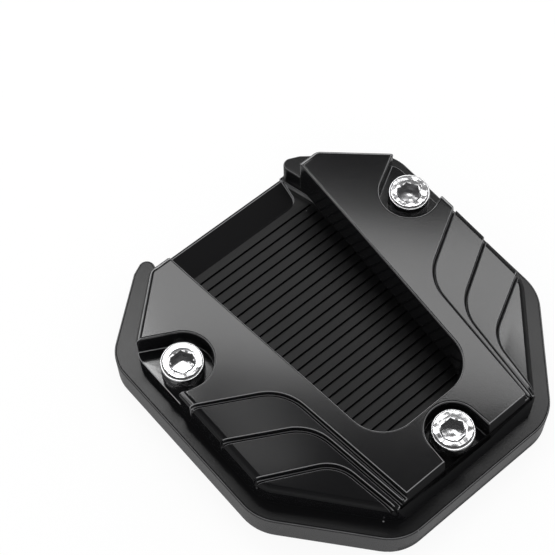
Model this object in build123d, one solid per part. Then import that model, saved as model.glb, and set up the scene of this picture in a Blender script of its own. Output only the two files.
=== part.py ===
from build123d import *
from dataclasses import dataclass
from math import cos, radians, tan
import os

# A foot enlarger for a motorbike's kickstand, in millimetres. An octagon-like base plate lies on
# the ground. The stand's foot lies in its ribbed recess, which is open to the back, and a U-shaped
# top plate with a tapered slot for the stand's leg is held on the base by three socket screws.
# X runs across, +Y is the back, where the stand comes in, and +Z is up. The origin is the middle
# of the outline on the ground. Most places along Y are given as a distance from the front edge.

# Base plate outline
plate_width = 88.0
plate_length = 93.5
front_width = 45.5
front_corner_length = 25.6
back_corner_length = 16.4
back_corner_angle = 39.2
front_corner_radius = 11.0
side_corner_radius = 12.0
back_corner_radius = 9.8
tail_corner_radius = 2.5
rim_height = 8.8
rim_edge_round = 0.6
base_edge_round = 0.8

# Recess for the stand's foot, with insets from its side walls
floor_height = 1.7
recess_width = 45.6
recess_widest_from_back = 11.3
recess_front_from_front = 17.0
recess_corner_radius = 9.0
recess_cove_radius = 1.5
ear_corner_inset = 3.05
ear_corner_past_back = 1.2
ear_radius = 2.0
ear_back_angle = 25.0
lip_inset = 2.3
lip_chamfer = 0.9

# Ribs milled across the recess, and the deeper strip of floor behind them
rib_height = 0.8
rib_pitch = 2.53
rib_groove_width = 0.55
ribs_from_back = 9.1
strip_front_inset = 4.0
strip_corner_radius = 3.5

# Top plate outline, as distances inside the base plate's edges
top_plate_thickness = 10.4
side_rim = 4.0
corner_rim = 4.5
front_rim = 3.75
front_face_lean = 10.6
arm_end_from_back = 8.4
arm_end_width = 5.7
arm_corner_angle = 42.4
arm_outer_radius = 2.6
arm_inner_radius = 1.6
arm_shoulder_radius = 5.0
top_side_corner_radius = 7.0
top_front_corner_radius = 5.0
arm_mouth_angle = 15.0
top_edge_round = 1.6
opening_edge_round = 0.6

# Slot for the stand's leg
slot_mouth_width = 39.7
slot_taper_angle = 4.7
slot_front_from_front = 17.6
slot_corner_radius = 8.9

# M6 socket head screws
screw_diameter = 6.0
screw_length = 10.0
head_diameter = 10.0
head_height = 6.0
head_round = 0.8
hex_across_flats = 5.0
hex_depth = 3.2
hex_countersink = 0.35
screw_tip_chamfer = 0.8
screw_hole_clearance = 0.3
thread_clearance = 0.05
tapped_hole_extra_depth = 1.2
side_screw_inset = 9.6
side_screw_from_back = 31.8
front_screw_from_front = 10.05

# Pockets around the screw heads, which open to the nearest outer edge
side_pocket_radius = 7.1
side_pocket_back_angle = 29.0
side_pocket_front_angle = 19.0
front_pocket_radius = 6.3
front_pocket_flare_angle = 4.0

# Grooves between the leaves
leaf_groove_width = 0.8
leaf_groove_depth = 1.0

# Derived places
front_y = -plate_length / 2
back_y = plate_length / 2
top_height = rim_height + top_plate_thickness
head_seat = top_height - head_height
arm_end_y = back_y - arm_end_from_back
side_screw_x = plate_width / 2 - side_screw_inset
rib_top = floor_height + rib_height
recess_side_x = recess_width / 2
ear_corner_x = recess_side_x - ear_corner_inset
lip_x = recess_side_x - lip_inset
strip_front_x = recess_side_x - strip_front_inset
far = 2 * (plate_width + plate_length)


@dataclass
class Leaf:
    # A leaf-shaped panel on the top plate, outside its own curved groove. The groove comes in
    # from the side at sweep_angle, turns at the corner and runs to the front at inner_angle.
    # The panel lies drop under the top at that corner and falls by tilt towards the front.
    corner_x: float
    corner_from_front: float
    corner_radius: float
    sweep_angle: float
    inner_angle: float
    drop: float
    tilt: float


leaves = [
    Leaf(21.8, 41.4, 11.0, 29.3, 5.6, 0.75, 1.4),
    Leaf(22.6, 31.2, 10.5, 29.5, 6.6, 2.0, 2.2),
    Leaf(23.6, 21.4, 8.5, 27.4, 8.0, 3.6, 2.9),
]


def from_front(distance):
    return front_y + distance


def rounded_face(corners):
    # A face through (x, y, radius) corners
    points = [(x, y) for x, y, radius in corners]
    radii = [radius for x, y, radius in corners]
    return make_face(FilletPolyline(*points, radius=radii, close=True))


def both_sides(right_corners):
    # Corners listed from front to back on the right, closed by their mirror image on the left
    left_corners = [(-x, y, radius) for x, y, radius in reversed(right_corners)]
    return rounded_face(right_corners + left_corners)


def prism(face, bottom, top):
    return Pos(0, 0, bottom) * extrude(face, top - bottom)


def edges_at(solid, plane):
    # The edges that lie in a plane
    return [edge for edge in solid.edges() if all(abs(plane.to_local_coords(point).Z) < 1e-4
            for point in (edge @ 0, edge @ 0.5, edge @ 1))]


def level(height):
    return Plane.XY.offset(height)


# Base plate

def base_outline():
    half_width = plate_width / 2
    tail_x = half_width - back_corner_length / tan(radians(back_corner_angle))
    return both_sides([
        (front_width / 2, front_y, front_corner_radius),
        (half_width, from_front(front_corner_length), side_corner_radius),
        (half_width, back_y - back_corner_length, back_corner_radius),
        (tail_x, back_y, tail_corner_radius),
    ])


def recess_outline(outset=0.0):
    # The walls run to the corners that the ears would have without their round ends, and from
    # there along the ears' slanted ends
    corner_y = back_y + ear_corner_past_back
    return both_sides([
        (recess_side_x + outset, from_front(recess_front_from_front) - outset, recess_corner_radius),
        (recess_side_x + outset, back_y - recess_widest_from_back, 0),
        (ear_corner_x + outset, corner_y, ear_radius),
        (ear_corner_x + far, corner_y - far * tan(radians(ear_back_angle)), 0),
        (ear_corner_x + far, far, 0),
    ])


def recess_space():
    space = prism(recess_outline(), rib_top, rim_height + far)
    return fillet(edges_at(space, level(rib_top)), recess_cove_radius)


def floor_strip():
    # The strip of floor between the ribs and the open back
    lip_y = back_y - lip_chamfer
    strip = both_sides([
        (strip_front_x, back_y - ribs_from_back, strip_corner_radius),
        (lip_x, lip_y, 0),
        (far, lip_y, 0),
        (far, far, 0),
    ])
    return prism(strip & recess_outline(), floor_height, rib_top + recess_cove_radius)


def rib_grooves():
    # Grooves between the ribs, which stop short of the recess walls
    inside = prism(recess_outline(-recess_cove_radius), 0, rim_height)
    grooves = []
    groove_y = back_y - ribs_from_back - rib_pitch
    while groove_y > from_front(recess_front_from_front) + recess_cove_radius + rib_pitch:
        bar = Box(recess_width, rib_groove_width, rim_height,
                  align=(Align.CENTER, Align.MIN, Align.MIN))
        grooves.append(Pos(0, groove_y, floor_height) * bar & inside)
        groove_y -= rib_pitch
    return grooves


def lip_bevel():
    bevel = Polygon((back_y + 1, floor_height + 1), (back_y - lip_chamfer - 1, floor_height + 1),
                    (back_y + 1, floor_height - lip_chamfer - 1), align=None)
    return extrude(Plane.YZ * bevel, lip_x, both=True)


def tapped_holes():
    radius = screw_diameter / 2 + thread_clearance
    bottom = head_seat - screw_length - tapped_hole_extra_depth
    hole = prism(Circle(radius), bottom, rim_height + 1)
    return [Pos(x, y, 0) * hole for x, y in screw_places()]


def base_plate():
    base = prism(base_outline(), 0, rim_height)
    base = fillet(edges_at(base, level(0)), base_edge_round)
    base = base - recess_space() - floor_strip() - lip_bevel()
    base = fillet(edges_at(base, level(rim_height)), rim_edge_round)
    return base - rib_grooves() - tapped_holes()


# Screws

def screw_places():
    side_y = back_y - side_screw_from_back
    return [(-side_screw_x, side_y), (side_screw_x, side_y), (0, from_front(front_screw_from_front))]


def socket_screw():
    # The seat under the head is at the origin
    head = Cylinder(head_diameter / 2, head_height, align=(Align.CENTER, Align.CENTER, Align.MIN))
    head = fillet(edges_at(head, level(head_height)), head_round)
    socket = extrude(RegularPolygon(hex_across_flats / 2, 6, major_radius=False), -hex_depth)
    mouth_radius = hex_across_flats / 2 / cos(radians(30)) + hex_countersink
    mouth = Cone(mouth_radius - 2 * hex_countersink, mouth_radius, 2 * hex_countersink,
                 align=(Align.CENTER, Align.CENTER, Align.MAX))
    head = head - Pos(0, 0, head_height) * (socket + mouth)
    shank = Cylinder(screw_diameter / 2, screw_length, align=(Align.CENTER, Align.CENTER, Align.MAX))
    shank = chamfer(edges_at(shank, level(-screw_length)), screw_tip_chamfer)
    return head + shank


# Top plate

def top_outline():
    # The outline with the slot filled in. The lines of the base plate's front corners, moved
    # inwards by the rim, give its front corners.
    half_width = plate_width / 2 - side_rim
    run = plate_width / 2 - front_width / 2
    edge_length = (run ** 2 + front_corner_length ** 2) ** 0.5
    shift = corner_rim * edge_length / run
    side_y = from_front(shift + front_corner_length * (half_width - front_width / 2) / run)
    front_x = front_width / 2 + (front_rim - shift) * run / front_corner_length
    arm_x = slot_mouth_width / 2 + arm_end_width
    shoulder_y = arm_end_y - (half_width - arm_x) * tan(radians(arm_corner_angle))
    return both_sides([
        (front_x, from_front(front_rim), top_front_corner_radius),
        (half_width, side_y, top_side_corner_radius),
        (half_width, shoulder_y, arm_shoulder_radius),
        (arm_x, arm_end_y, arm_outer_radius),
    ])


def slot_outline():
    # The slot tapers to the front and opens between the arms' rounded inner corners
    mouth_x = slot_mouth_width / 2
    front_slot_y = from_front(slot_front_from_front)
    front_slot_x = mouth_x - (arm_end_y - front_slot_y) * tan(radians(slot_taper_angle))
    return both_sides([
        (front_slot_x, front_slot_y, slot_corner_radius),
        (mouth_x, arm_end_y, arm_inner_radius),
        (far, arm_end_y + far * tan(radians(arm_mouth_angle)), 0),
        (far, 2 * far, 0),
    ])


def pocket_outline(place, radius, left_angle, right_angle):
    # A round end that opens outwards between two walls, which leave it in these directions
    round_end = CenterArc(place, radius, left_angle + 90, 180 + right_angle - left_angle)
    left_wall = PolarLine(round_end @ 0, far, left_angle)
    right_wall = PolarLine(round_end @ 1, far, right_angle)
    return make_face([round_end, left_wall, Line(left_wall @ 1, right_wall @ 1), right_wall])


def pocket_outlines():
    rear_left, rear_right, front = screw_places()
    rear_pocket = pocket_outline(rear_right, side_pocket_radius, side_pocket_back_angle,
                                 side_pocket_front_angle)
    front_pocket = pocket_outline(front, front_pocket_radius, front_pocket_flare_angle - 90,
                                  -front_pocket_flare_angle - 90)
    return [mirror(rear_pocket, Plane.YZ), rear_pocket, front_pocket]


def front_lean():
    # The wedge that the front face's lean takes away
    lean_space = Box(far, far, far, align=(Align.CENTER, Align.MAX, Align.CENTER))
    return Pos(0, from_front(front_rim), rim_height) * Rot(-front_face_lean, 0, 0) * lean_space


def slab(plane):
    # The top plate's outline up to a plane, rounded along its upper edge
    block = prism(top_outline(), rim_height, top_height + far)
    block = block - plane * Box(far, far, 3 * far, align=(Align.CENTER, Align.CENTER, Align.MIN))
    return fillet(edges_at(block, plane), top_edge_round)


def all_around(opening, bottom):
    # Wide material with an opening from this height upwards, rounded along the opening's rim
    block = prism(Rectangle(far, far), rim_height, top_height) - prism(opening, bottom, top_height)
    rim = [edge for edge in edges_at(block, level(top_height))
           if max(abs((edge @ 0.5).X), abs((edge @ 0.5).Y)) < far / 2 - 1]
    return fillet(rim, opening_edge_round)


def leaf_plane(leaf):
    y = from_front(leaf.corner_from_front)
    return Plane.XY * Pos(0, y, top_height - leaf.drop) * Rot(leaf.tilt, 0, 0)


def leaf_region(leaf):
    # All that lies outside the leaf's groove, far past the plate's edges
    corner_y = from_front(leaf.corner_from_front)
    side_y = corner_y + far * tan(radians(leaf.sweep_angle))
    front_x = leaf.corner_x - far * tan(radians(leaf.inner_angle))
    return rounded_face([
        (leaf.corner_x, corner_y, leaf.corner_radius),
        (leaf.corner_x + far, side_y, 0),
        (leaf.corner_x + far, corner_y - far, 0),
        (front_x, corner_y - far, 0),
    ])


def on_both_sides(solid):
    return [solid, mirror(solid, Plane.YZ)]


def leaf_cuts(leaf):
    # What is cut away above the leaf's panel, and its groove, which is centred on the panel's edge
    plane = Plane(leaf_plane(leaf))
    region = leaf_region(leaf)
    panel = slab(plane)
    above_panel = prism(region, 0, far) - panel
    half_groove = leaf_groove_width / 2
    band = prism(offset(region, half_groove), 0, far) - prism(offset(region, -half_groove), -1, far + 1)
    groove = band - Pos(0, 0, -leaf_groove_depth) * panel
    return on_both_sides(above_panel) + on_both_sides(groove)


def clearance_holes():
    hole = prism(Circle(screw_diameter / 2 + screw_hole_clearance), rim_height - 1, head_seat + 1)
    return [Pos(x, y, 0) * hole for x, y in screw_places()]


def top_plate():
    plate = slab(level(top_height)) & all_around(slot_outline(), rim_height)
    for pocket in pocket_outlines():
        plate = plate & all_around(pocket, head_seat)
    for leaf in leaves:
        for cut in leaf_cuts(leaf):
            plate = plate - cut
    return plate - front_lean() - clearance_holes()


os.makedirs("parts", exist_ok=True)
export_step(base_plate(), "parts/base_plate.step")
export_step(top_plate(), "parts/top_plate.step")
for name, (x, y) in zip(("rear_left_screw", "rear_right_screw", "front_screw"), screw_places()):
    export_step(Pos(x, y, head_seat) * socket_screw(), f"parts/{name}.step")
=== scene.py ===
import bmesh
import bpy
import math
from mathutils import Euler, Matrix, Vector
from mathutils.bvhtree import BVHTree


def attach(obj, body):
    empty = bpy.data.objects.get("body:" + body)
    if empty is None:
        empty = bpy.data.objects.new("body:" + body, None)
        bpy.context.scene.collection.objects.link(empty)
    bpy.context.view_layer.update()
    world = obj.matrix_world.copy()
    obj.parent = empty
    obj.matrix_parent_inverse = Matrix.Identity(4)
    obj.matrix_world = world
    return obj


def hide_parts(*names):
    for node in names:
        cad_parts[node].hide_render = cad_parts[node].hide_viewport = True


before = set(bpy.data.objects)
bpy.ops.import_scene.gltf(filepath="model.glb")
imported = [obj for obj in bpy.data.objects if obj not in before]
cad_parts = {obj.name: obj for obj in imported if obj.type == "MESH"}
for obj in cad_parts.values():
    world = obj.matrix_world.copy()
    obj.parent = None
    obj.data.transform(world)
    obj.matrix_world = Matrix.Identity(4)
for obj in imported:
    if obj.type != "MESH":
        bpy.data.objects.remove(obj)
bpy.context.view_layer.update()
print("frame loaded")

mm = 0.001


# Shared shader groups

def newGroup(name, inputs, outputs):
    group = bpy.data.node_groups.new(name, "ShaderNodeTree")
    for socketName, socketType, value in inputs:
        socket = group.interface.new_socket(socketName, in_out="INPUT", socket_type=socketType)
        socket.default_value = value
    for socketName, socketType in outputs:
        group.interface.new_socket(socketName, in_out="OUTPUT", socket_type=socketType)
    start = group.nodes.new("NodeGroupInput")
    end = group.nodes.new("NodeGroupOutput")
    return group, start, end


def mathNode(tree, operation, first, second):
    # A maths node whose inputs are numbers or other nodes' outputs
    node = tree.nodes.new("ShaderNodeMath")
    node.operation = operation
    for socket, value in zip(node.inputs, (first, second)):
        if isinstance(value, (int, float)):
            socket.default_value = value
        else:
            tree.links.new(value, socket)
    return node.outputs[0]


def objectCoords(tree):
    return tree.nodes.new("ShaderNodeTexCoord").outputs["Object"]


def noiseNode(tree, coords, scale, detail):
    noise = tree.nodes.new("ShaderNodeTexNoise")
    tree.links.new(coords, noise.inputs["Vector"])
    noise.inputs["Detail"].default_value = detail
    if isinstance(scale, (int, float)):
        noise.inputs["Scale"].default_value = scale
    else:
        tree.links.new(scale, noise.inputs["Scale"])
    return noise.outputs["Fac"]


# The recess for the stand's foot, inside this half width, behind this place along Y and between
# these heights, in millimetres. The bare strip of its floor lies under the height "strip", and the
# marks of the milling are stretched along X.
recessZone = {"halfWidth": 23.0, "front": -30.0, "top": 2.9, "bottom": 0.5, "strip": 1.9,
              "stripRoughness": 0.8, "markStretch": 0.04, "markScale": 3500.0, "markDetail": 1.0,
              "markShare": 2.5}
grainLook = {"detail": 2.0, "broadScale": 90.0, "broadDetail": 3.0}


def makeBlastedGrain(look, zone):
    # The fine blasted texture under the black finish, as a height and a roughness, with the milled
    # floor of the recess rougher than the rest
    group, start, end = newGroup(
        "blastedGrain",
        [("Scale", "NodeSocketFloat", 4000.0), ("Roughness", "NodeSocketFloat", 0.35),
         ("Recess", "NodeSocketFloat", 0.35), ("Spread", "NodeSocketFloat", 0.06)],
        [("Height", "NodeSocketFloat"), ("Roughness", "NodeSocketFloat")])
    coords = objectCoords(group)
    fine = noiseNode(group, coords, start.outputs["Scale"], look["detail"])
    broad = noiseNode(group, coords, look["broadScale"], look["broadDetail"])
    split = group.nodes.new("ShaderNodeSeparateXYZ")
    group.links.new(coords, split.inputs["Vector"])
    side = mathNode(group, "ABSOLUTE", split.outputs["X"], 0.0)
    inside = mathNode(group, "LESS_THAN", side, zone["halfWidth"] * mm)
    low = mathNode(group, "LESS_THAN", split.outputs["Z"], zone["top"] * mm)
    high = mathNode(group, "GREATER_THAN", split.outputs["Z"], zone["bottom"] * mm)
    recess = mathNode(group, "MULTIPLY", mathNode(group, "MULTIPLY", inside, low), high)
    level = group.nodes.new("ShaderNodeMix")
    group.links.new(recess, level.inputs["Factor"])
    group.links.new(start.outputs["Roughness"], level.inputs["A"])
    group.links.new(start.outputs["Recess"], level.inputs["B"])
    bare = mathNode(group, "LESS_THAN", split.outputs["Z"], zone["strip"] * mm)
    strip = mathNode(group, "MULTIPLY", mathNode(group, "MULTIPLY", recess, bare), zone["stripRoughness"])
    change = mathNode(group, "MULTIPLY", mathNode(group, "SUBTRACT", broad, 0.5), start.outputs["Spread"])
    rough = mathNode(group, "MAXIMUM", mathNode(group, "ADD", level.outputs["Result"], change), strip)
    group.links.new(rough, end.inputs["Roughness"])
    stretch = group.nodes.new("ShaderNodeMapping")
    stretch.inputs["Scale"].default_value = (zone["markStretch"], 1.0, 1.0)
    group.links.new(coords, stretch.inputs["Vector"])
    marks = noiseNode(group, stretch.outputs["Vector"], zone["markScale"], zone["markDetail"])
    milled = mathNode(group, "MULTIPLY", mathNode(group, "MULTIPLY", marks, recess), zone["markShare"])
    group.links.new(mathNode(group, "ADD", fine, milled), end.inputs["Height"])
    return group


def makeDust():
    # Sparse pale specks: small dots in a few cells of a fine grid
    group, start, end = newGroup(
        "dustSpecks",
        [("Scale", "NodeSocketFloat", 260.0), ("Size", "NodeSocketFloat", 0.05),
         ("Share", "NodeSocketFloat", 0.02)],
        [("Specks", "NodeSocketFloat")])
    cells = group.nodes.new("ShaderNodeTexVoronoi")
    group.links.new(objectCoords(group), cells.inputs["Vector"])
    group.links.new(start.outputs["Scale"], cells.inputs["Scale"])
    dots = mathNode(group, "LESS_THAN", cells.outputs["Distance"], start.outputs["Size"])
    split = group.nodes.new("ShaderNodeSeparateColor")
    group.links.new(cells.outputs["Color"], split.inputs["Color"])
    chosen = mathNode(group, "LESS_THAN", split.outputs["Red"], start.outputs["Share"])
    group.links.new(mathNode(group, "MULTIPLY", dots, chosen), end.inputs["Specks"])
    return group


# How finely the painted edge highlight is broken up, how much of it stays in the thinnest places,
# and up to which slope a face counts as upright
paintedHighlightLook = {"detail": 2.0, "least": 0.4, "upright": 0.3}


def makePaintedHighlight(look, zone):
    # Painted highlight, a pale colour on rounded edges: where the surface turns between two slopes,
    # given as the upward part of its normal, and a little broken up, above the lowest height.
    # "Sides" is a share of it on upright faces outside the recess, which is painted sheen.
    group, start, end = newGroup(
        "paintedHighlightGroup",
        [("Steep", "NodeSocketFloat", 0.78), ("Flat", "NodeSocketFloat", 0.9),
         ("Amount", "NodeSocketFloat", 0.5), ("Scale", "NodeSocketFloat", 300.0),
         ("Sides", "NodeSocketFloat", 0.0), ("Lowest", "NodeSocketFloat", 0.0)],
        [("PaintedHighlight", "NodeSocketFloat")])
    normal = group.nodes.new("ShaderNodeNewGeometry").outputs["Normal"]
    split = group.nodes.new("ShaderNodeSeparateXYZ")
    group.links.new(normal, split.inputs["Vector"])
    above = mathNode(group, "GREATER_THAN", split.outputs["Z"], start.outputs["Steep"])
    below = mathNode(group, "LESS_THAN", split.outputs["Z"], start.outputs["Flat"])
    patches = noiseNode(group, objectCoords(group), start.outputs["Scale"], look["detail"])
    band = mathNode(group, "MULTIPLY", above, below)
    broken = mathNode(group, "MULTIPLY", band, mathNode(group, "ADD", patches, look["least"]))
    place = group.nodes.new("ShaderNodeSeparateXYZ")
    group.links.new(objectCoords(group), place.inputs["Vector"])
    high = mathNode(group, "GREATER_THAN", place.outputs["Z"], start.outputs["Lowest"])
    share = mathNode(group, "MULTIPLY", high, start.outputs["Amount"])
    edges = mathNode(group, "MULTIPLY", broken, share)
    slope = mathNode(group, "ABSOLUTE", split.outputs["Z"], 0.0)
    upright = mathNode(group, "LESS_THAN", slope, look["upright"])
    side = mathNode(group, "ABSOLUTE", place.outputs["X"], 0.0)
    outside = mathNode(group, "GREATER_THAN", side, zone["halfWidth"] * mm)
    front = mathNode(group, "LESS_THAN", place.outputs["Y"], zone["front"] * mm)
    around = mathNode(group, "MULTIPLY", upright, mathNode(group, "MAXIMUM", outside, front))
    sides = mathNode(group, "MULTIPLY", around, start.outputs["Sides"])
    group.links.new(mathNode(group, "MAXIMUM", edges, sides), end.inputs["PaintedHighlight"])
    return group


blastedGrain = makeBlastedGrain(grainLook, recessZone)
paintedHighlightGroup = makePaintedHighlight(paintedHighlightLook, recessZone)
dustSpecks = makeDust()
print("shader groups made")


# Materials

# "roughness" and "recess" are the roughness outside and inside the recess for the stand's foot.
# The pale second colour is painted highlight on rounded edges, between two slopes and above a height
# in millimetres, and its share on upright faces ("sides") is painted sheen.
topFinish = {"color": (0.005, 0.005, 0.0055), "paintedHighlightColor": (0.28, 0.28, 0.285), "roughness": 0.13, "recess": 0.13,
             "spread": 0.03, "specular": 0.5, "grainScale": 2400.0, "grainDepth": 0.012,
             "grainStrength": 0.4, "paintedHighlight": 0.6, "highlightFrom": 0.8, "highlightTo": 0.92, "highlightAbove": 18.75,
             "sides": 0.0, "dust": 0.004}
baseFinish = {"color": (0.005, 0.005, 0.0055), "paintedHighlightColor": (0.2, 0.2, 0.205), "roughness": 0.24, "recess": 0.45,
              "spread": 0.05, "specular": 0.3, "grainScale": 2200.0, "grainDepth": 0.016,
              "grainStrength": 0.45, "paintedHighlight": 0.5, "highlightFrom": 0.7, "highlightTo": 0.9, "highlightAbove": 0.0,
              "sides": 0.22, "dust": 0.015}
# The narrow broken edges in a pale grey that is painted highlight, and the matt black of deep and
# upright places
edgeHighlightFinish = {**topFinish, "color": (0.18, 0.18, 0.185), "roughness": 0.3, "paintedHighlight": 0.0}
mattFinish = {**topFinish, "roughness": 0.5, "specular": 0.12, "paintedHighlight": 0.0}


def makeBlackFinish(name, look):
    material = bpy.data.materials.new(name)
    material.use_nodes = True
    tree = material.node_tree
    surface = tree.nodes["Principled BSDF"]
    surface.inputs["Specular IOR Level"].default_value = look["specular"]
    # Painted highlight on rounded edges and painted sheen on upright sides, mixed with real dust specks
    paintedHighlight = tree.nodes.new("ShaderNodeGroup")
    paintedHighlight.node_tree = paintedHighlightGroup
    paintedHighlight.inputs["Steep"].default_value = look["highlightFrom"]
    paintedHighlight.inputs["Flat"].default_value = look["highlightTo"]
    paintedHighlight.inputs["Amount"].default_value = look["paintedHighlight"]
    paintedHighlight.inputs["Sides"].default_value = look["sides"]
    paintedHighlight.inputs["Lowest"].default_value = look["highlightAbove"] * mm
    color = tree.nodes.new("ShaderNodeMix")
    color.data_type = "RGBA"
    color.inputs["A"].default_value = (*look["color"], 1.0)
    color.inputs["B"].default_value = (*look["paintedHighlightColor"], 1.0)
    dust = tree.nodes.new("ShaderNodeGroup")
    dust.node_tree = dustSpecks
    dust.inputs["Share"].default_value = look["dust"]
    highlightAndDust = mathNode(tree, "MAXIMUM", paintedHighlight.outputs["PaintedHighlight"], dust.outputs["Specks"])
    tree.links.new(highlightAndDust, color.inputs["Factor"])
    tree.links.new(color.outputs["Result"], surface.inputs["Base Color"])
    grain = tree.nodes.new("ShaderNodeGroup")
    grain.node_tree = blastedGrain
    grain.inputs["Scale"].default_value = look["grainScale"]
    grain.inputs["Roughness"].default_value = look["roughness"]
    grain.inputs["Recess"].default_value = look["recess"]
    grain.inputs["Spread"].default_value = look["spread"]
    tree.links.new(grain.outputs["Roughness"], surface.inputs["Roughness"])
    bump = tree.nodes.new("ShaderNodeBump")
    bump.inputs["Strength"].default_value = look["grainStrength"]
    bump.inputs["Distance"].default_value = look["grainDepth"] * mm
    tree.links.new(grain.outputs["Height"], bump.inputs["Height"])
    tree.links.new(bump.outputs["Normal"], surface.inputs["Normal"])
    return material


chromePlate = {"color": (0.74, 0.74, 0.75), "roughness": 0.2, "dentScale": 420.0, "dentDetail": 1.0,
               "dentDepth": 0.28, "dentStrength": 1.0}


def makeChromePlate(name, look):
    material = bpy.data.materials.new(name)
    material.use_nodes = True
    nodes, links = material.node_tree.nodes, material.node_tree.links
    surface = nodes["Principled BSDF"]
    surface.inputs["Base Color"].default_value = (*look["color"], 1.0)
    surface.inputs["Metallic"].default_value = 1.0
    surface.inputs["Roughness"].default_value = look["roughness"]
    coords = nodes.new("ShaderNodeTexCoord")
    dents = nodes.new("ShaderNodeTexNoise")
    dents.inputs["Scale"].default_value = look["dentScale"]
    dents.inputs["Detail"].default_value = look["dentDetail"]
    links.new(coords.outputs["Object"], dents.inputs["Vector"])
    bump = nodes.new("ShaderNodeBump")
    bump.inputs["Strength"].default_value = look["dentStrength"]
    bump.inputs["Distance"].default_value = look["dentDepth"] * mm
    links.new(dents.outputs["Fac"], bump.inputs["Height"])
    links.new(bump.outputs["Normal"], surface.inputs["Normal"])
    return material


topBlack = makeBlackFinish("satinBlack", topFinish)
baseBlack = makeBlackFinish("blastedBlack", baseFinish)
edgeHighlightMaterial = makeBlackFinish("paintedEdgeHighlight", edgeHighlightFinish)
mattBlack = makeBlackFinish("mattBlack", mattFinish)
chrome = makeChromePlate("polishedChrome", chromePlate)
print("materials made")


# Plates and screws, as smooth shaded shells over the solids

# How a solid becomes a shell, in millimetres and degrees, and how its edges are broken
shellLook = {"merge": 0.004, "flat": 0.3, "smoothAngle": 35.0, "flatWeight": 100, "stray": 0.02,
             "lost": 0.1}
# The bevel faces of the plates take the second material, a pale grey that is painted highlight
plateEdges = {"angle": 40.0, "width": 0.16, "segments": 1, "clamp": False, "material": 1}
ribEdges = {**plateEdges, "width": 0.09, "clamp": True, "material": 0}
screwEdges = {**plateEdges, "width": 0.07, "segments": 2, "clamp": True, "material": 0}

# The zone of the ribs: within this half width, before the back and under the top, in millimetres
ribZone = {"halfWidth": 23.5, "back": 38.5, "top": 4.5}
noZone = {"halfWidth": 0.0, "back": 0.0, "top": 0.0}


def breakEdges(shell, look, zone, inside):
    # Bevels the sharp edges inside the zone, or all those outside it
    mesh = bmesh.new()
    mesh.from_mesh(shell.data)
    layers = mesh.edges.layers.float
    weight = layers.get("bevel_weight_edge") or layers.new("bevel_weight_edge")
    for edge in mesh.edges:
        middle = (edge.verts[0].co + edge.verts[1].co) / (2 * mm)
        within = abs(middle.x) < zone["halfWidth"] and middle.y < zone["back"] and middle.z < zone["top"]
        sharp = len(edge.link_faces) == 2 and edge.calc_face_angle() > math.radians(look["angle"])
        edge[weight] = float(sharp and within == inside)
    mesh.to_mesh(shell.data)
    mesh.free()
    edges = shell.modifiers.new("edges", "BEVEL")
    edges.width = look["width"] * mm
    edges.segments = look["segments"]
    edges.limit_method = "WEIGHT"
    edges.use_clamp_overlap = look["clamp"]
    edges.material = look["material"]
    bpy.ops.object.modifier_apply(modifier="edges")


def settleStrays(shell, solid, limit, far):
    # Corner points that breaking the edges threw off the solid go back to its surface, or to a
    # neighbour on it where they went further
    offsets = [solid.find_nearest(vertex.co) for vertex in shell.data.vertices]
    neighbours = {}
    for edge in shell.data.edges:
        first, second = edge.vertices
        neighbours.setdefault(first, []).append(second)
        neighbours.setdefault(second, []).append(first)
    for vertex, (place, _, _, distance) in zip(shell.data.vertices, offsets):
        if distance > limit * mm:
            vertex.co = place
        if distance > far * mm:
            near = min(neighbours[vertex.index], key=lambda index: offsets[index][3])
            vertex.co = offsets[near][0]


def makeShell(nodeName, materials, look, edgeLooks):
    # A shell over the solid. Each edge look goes with a zone, and with whether it holds inside it.
    solid = BVHTree.FromObject(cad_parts[nodeName], bpy.context.evaluated_depsgraph_get())
    shell = bpy.data.objects.new(nodeName + "_shell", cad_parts[nodeName].data.copy())
    bpy.context.scene.collection.objects.link(shell)
    shell.data.materials.clear()
    for material in materials:
        shell.data.materials.append(material)
    bpy.ops.object.select_all(action="DESELECT")
    shell.select_set(True)
    bpy.context.view_layer.objects.active = shell
    bpy.ops.object.mode_set(mode="EDIT")
    bpy.ops.mesh.select_all(action="SELECT")
    bpy.ops.mesh.remove_doubles(threshold=look["merge"] * mm)
    bpy.ops.mesh.dissolve_limited(angle_limit=math.radians(look["flat"]))
    bpy.ops.object.mode_set(mode="OBJECT")
    for edgeLook, zone, inside in edgeLooks:
        breakEdges(shell, edgeLook, zone, inside)
    settleStrays(shell, solid, look["stray"], look["lost"])
    bpy.ops.object.shade_smooth_by_angle(angle=math.radians(look["smoothAngle"]))
    flats = shell.modifiers.new("flats", "WEIGHTED_NORMAL")  # keeps the flat faces flat
    flats.weight = look["flatWeight"]
    flats.keep_sharp = True
    bpy.ops.object.modifier_apply(modifier="flats")
    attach(shell, "root")
    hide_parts(nodeName)
    return shell


# The leaf panels on the top plate, in millimetres: the height at the corner of each panel's groove,
# where along the length that corner is, and how far the panel falls towards the front, in degrees
leafPanels = [{"y": -5.35, "height": 18.45, "tilt": 1.4}, {"y": -15.55, "height": 17.2, "tilt": 2.2},
              {"y": -25.35, "height": 15.6, "tilt": 2.9}]

# Which faces of the top plate are matt, in millimetres and as the upward part of their normal: the
# floors of the grooves, up to the largest area, the front face, and the rims of the leaf panels
mattFaces = {"depth": 1.0, "within": 0.12, "largest": 45.0, "level": 0.9, "front": -0.95,
             "rimBack": 3.0, "rimTop": 18.6, "rimSlope": (0.1, 0.95), "upright": 0.45}
bareStrip = {"front": 0.0, "slope": 0.3}


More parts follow.
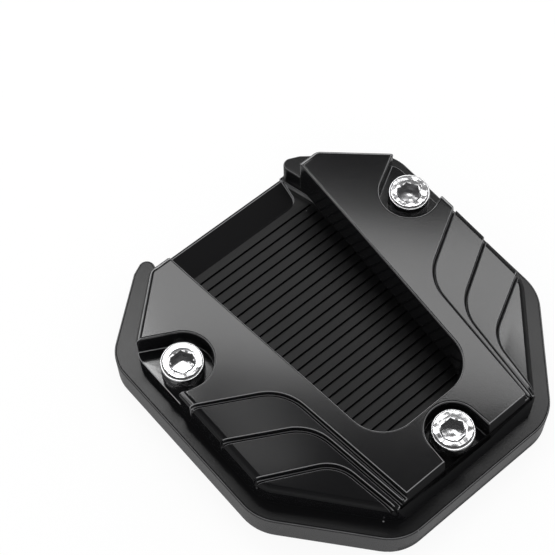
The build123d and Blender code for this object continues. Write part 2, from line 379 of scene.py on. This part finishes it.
def isMattTop(face):
    # The floors of the leaf grooves, the front face and the rounded rims of the leaf panels
    lowest, highest = mattFaces["rimSlope"]
    low = face.center.y < mattFaces["rimBack"] * mm and face.center.z < mattFaces["rimTop"] * mm
    if face.normal.y < mattFaces["front"] or (low and lowest < face.normal.z < highest):
        return True
    for panel in leafPanels:
        rise = (face.center.y / mm - panel["y"]) * math.tan(math.radians(panel["tilt"]))
        floorHeight = panel["height"] + rise - mattFaces["depth"]
        onFloor = abs(face.center.z / mm - floorHeight) < mattFaces["within"]
        if onFloor and face.area < mattFaces["largest"] * mm * mm and face.normal.z > mattFaces["level"]:
            return True
    return False


def isBareStrip(face):
    # The strip of bare floor behind the ribs, and the bevel along its open edge
    place = face.center / mm
    low = recessZone["bottom"] < place.z < recessZone["strip"]
    behind = abs(place.x) < recessZone["halfWidth"] and place.y > bareStrip["front"]
    return low and behind and face.normal.z > bareStrip["slope"]


def isUprightEdge(face):
    # The broken edges that stand upright beside the leaf panels, which look black
    return face.center.y < mattFaces["rimBack"] * mm and abs(face.normal.z) < mattFaces["upright"]


def paintFaces(shell, isChosen, oldSlot, newSlot):
    for face in shell.data.polygons:
        if face.material_index == oldSlot and isChosen(face):
            face.material_index = newSlot


baseShell = makeShell("base_plate", [baseBlack, edgeHighlightMaterial, mattBlack], shellLook,
                      [(ribEdges, ribZone, True), (plateEdges, ribZone, False)])
paintFaces(baseShell, isBareStrip, 0, 2)
topShell = makeShell("top_plate", [topBlack, edgeHighlightMaterial, mattBlack], shellLook,
                     [(plateEdges, noZone, False)])
paintFaces(topShell, isMattTop, 0, 2)
paintFaces(topShell, isUprightEdge, 1, 2)
for nodeName in ("rear_left_screw", "rear_right_screw", "front_screw"):
    makeShell(nodeName, [chrome], shellLook, [(screwEdges, noZone, False)])
print("plates and screws made")


# Floor, light and camera

# "glow" is the share of plain white light in the floor, and "mirrored" its light in reflections
floorLook = {"size": 4.0, "color": (0.85, 0.85, 0.85), "roughness": 0.9, "glow": 0.9, "mirrored": 0.3}


def makeFloor(look):
    # The floor looks white to the camera and in reflections, and keeps a faint shadow
    bpy.ops.object.select_all(action="DESELECT")
    bpy.ops.mesh.primitive_plane_add(size=look["size"])
    floor = bpy.context.object
    floor.name = "floor"
    material = bpy.data.materials.new("paleFloor")
    material.use_nodes = True
    nodes, links = material.node_tree.nodes, material.node_tree.links
    surface = nodes["Principled BSDF"]
    surface.inputs["Base Color"].default_value = (*look["color"], 1.0)
    surface.inputs["Roughness"].default_value = look["roughness"]
    surface.inputs["Specular IOR Level"].default_value = 0.0
    white = nodes.new("ShaderNodeEmission")
    rays = nodes.new("ShaderNodeLightPath")
    seen = nodes.new("ShaderNodeMath")
    seen.operation = "MAXIMUM"
    links.new(rays.outputs["Is Camera Ray"], seen.inputs[0])
    links.new(rays.outputs["Is Glossy Ray"], seen.inputs[1])
    share = nodes.new("ShaderNodeMath")
    share.operation = "MULTIPLY"
    share.inputs[1].default_value = look["glow"]
    links.new(seen.outputs[0], share.inputs[0])
    level = nodes.new("ShaderNodeMath")
    level.operation = "MULTIPLY_ADD"
    links.new(rays.outputs["Is Glossy Ray"], level.inputs[0])
    level.inputs[1].default_value = look["mirrored"] - 1.0
    level.inputs[2].default_value = 1.0
    links.new(level.outputs[0], white.inputs["Strength"])
    mix = nodes.new("ShaderNodeMixShader")
    links.new(share.outputs[0], mix.inputs["Fac"])
    links.new(surface.outputs["BSDF"], mix.inputs[1])
    links.new(white.outputs["Emission"], mix.inputs[2])
    links.new(mix.outputs["Shader"], nodes["Material Output"].inputs["Surface"])
    floor.data.materials.append(material)


makeFloor(floorLook)

# Softboxes over the object: the middle above the plan, in millimetres, the size, the angle of the
# long side in the plan, and the light that each gives off
softboxes = {
    "overheadSoftbox": {"place": (203.0, 207.0, 535.0), "size": (424.0, 98.0), "angle": -50.1,
                        "radiance": 5.0},
    "leftSoftbox": {"place": (56.0, 256.0, 535.0), "size": (80.0, 44.0), "angle": 80.0, "radiance": 15.0},
    "frontSoftbox": {"place": (100.0, 152.0, 535.0), "size": (100.0, 38.0), "angle": 85.0, "radiance": 1.3},
    "rightSoftbox": {"place": (262.0, 38.0, 535.0), "size": (80.0, 50.0), "angle": -50.1, "radiance": 4.0},
}


def makeSoftbox(name, look):
    # An area lamp that faces the object
    light = bpy.data.lights.new(name, "AREA")
    light.shape = "RECTANGLE"
    light.size, light.size_y = (side * mm for side in look["size"])
    light.energy = look["radiance"] * math.pi * light.size * light.size_y
    lamp = bpy.data.objects.new(name, light)
    lamp.location = Vector(look["place"]) * mm
    angle = math.radians(look["angle"])
    away = lamp.location.normalized()
    along = Vector((math.cos(angle), math.sin(angle), 0.0))
    along = (along - along.project(away)).normalized()
    lamp.rotation_euler = Matrix((along, away.cross(along), away)).transposed().to_euler()
    bpy.context.scene.collection.objects.link(lamp)


for name, look in softboxes.items():
    makeSoftbox(name, look)

# "sky" is a height on the unit sky, 0 at the horizon and 1 overhead, and the light there, as a
# share of "strength"
studio = {"strength": 4.0, "level": 0.25,
          "sky": [(0.0, 0.8), (0.2, 0.8), (0.33, 0.06), (0.7, 0.05), (0.82, 0.01), (1.0, 0.01)]}


def makeStudio(look):
    # Matt surfaces see an even light, and glossy ones see the studio's bright walls and dark roof
    world = bpy.data.worlds.new("studio")
    bpy.context.scene.world = world
    world.use_nodes = True
    nodes, links = world.node_tree.nodes, world.node_tree.links
    background = nodes["Background"]
    background.inputs["Strength"].default_value = look["strength"]
    coords = nodes.new("ShaderNodeTexCoord")
    split = nodes.new("ShaderNodeSeparateXYZ")
    links.new(coords.outputs["Generated"], split.inputs["Vector"])
    ramp = nodes.new("ShaderNodeValToRGB")
    stops = ramp.color_ramp.elements
    while len(stops) < len(look["sky"]):
        stops.new(0.5)
    for stop, (height, light) in zip(stops, look["sky"]):
        stop.position = height
        stop.color = (light, light, light, 1.0)
    links.new(split.outputs["Z"], ramp.inputs["Fac"])
    rays = nodes.new("ShaderNodeLightPath")
    pick = nodes.new("ShaderNodeMix")
    pick.data_type = "RGBA"
    pick.inputs["A"].default_value = (look["level"],) * 3 + (1.0,)
    links.new(rays.outputs["Is Glossy Ray"], pick.inputs["Factor"])
    links.new(ramp.outputs["Color"], pick.inputs["B"])
    links.new(pick.outputs["Result"], background.inputs["Color"])


makeStudio(studio)

# The place in millimetres, the turn in degrees, and the lens on a sensor of this width
cameraLook = {"place": (-109.73, -114.72, 313.27), "turn": (27.016, -1.143, -41.377),
              "lens": 95.66, "sensor": 36.0, "shift": (-0.1116, 0.1314), "nearest": 10.0}


def makeCamera(look):
    data = bpy.data.cameras.new("photoView")
    data.sensor_width = look["sensor"]
    data.lens = look["lens"]
    data.shift_x, data.shift_y = look["shift"]
    data.clip_start = look["nearest"] * mm
    camera = bpy.data.objects.new("photoView", data)
    camera.location = Vector(look["place"]) * mm
    camera.rotation_euler = Euler([math.radians(angle) for angle in look["turn"]])
    bpy.context.scene.collection.objects.link(camera)
    bpy.context.scene.camera = camera


makeCamera(cameraLook)
bpy.context.scene.view_settings.view_transform = "Standard"
print("stage set")
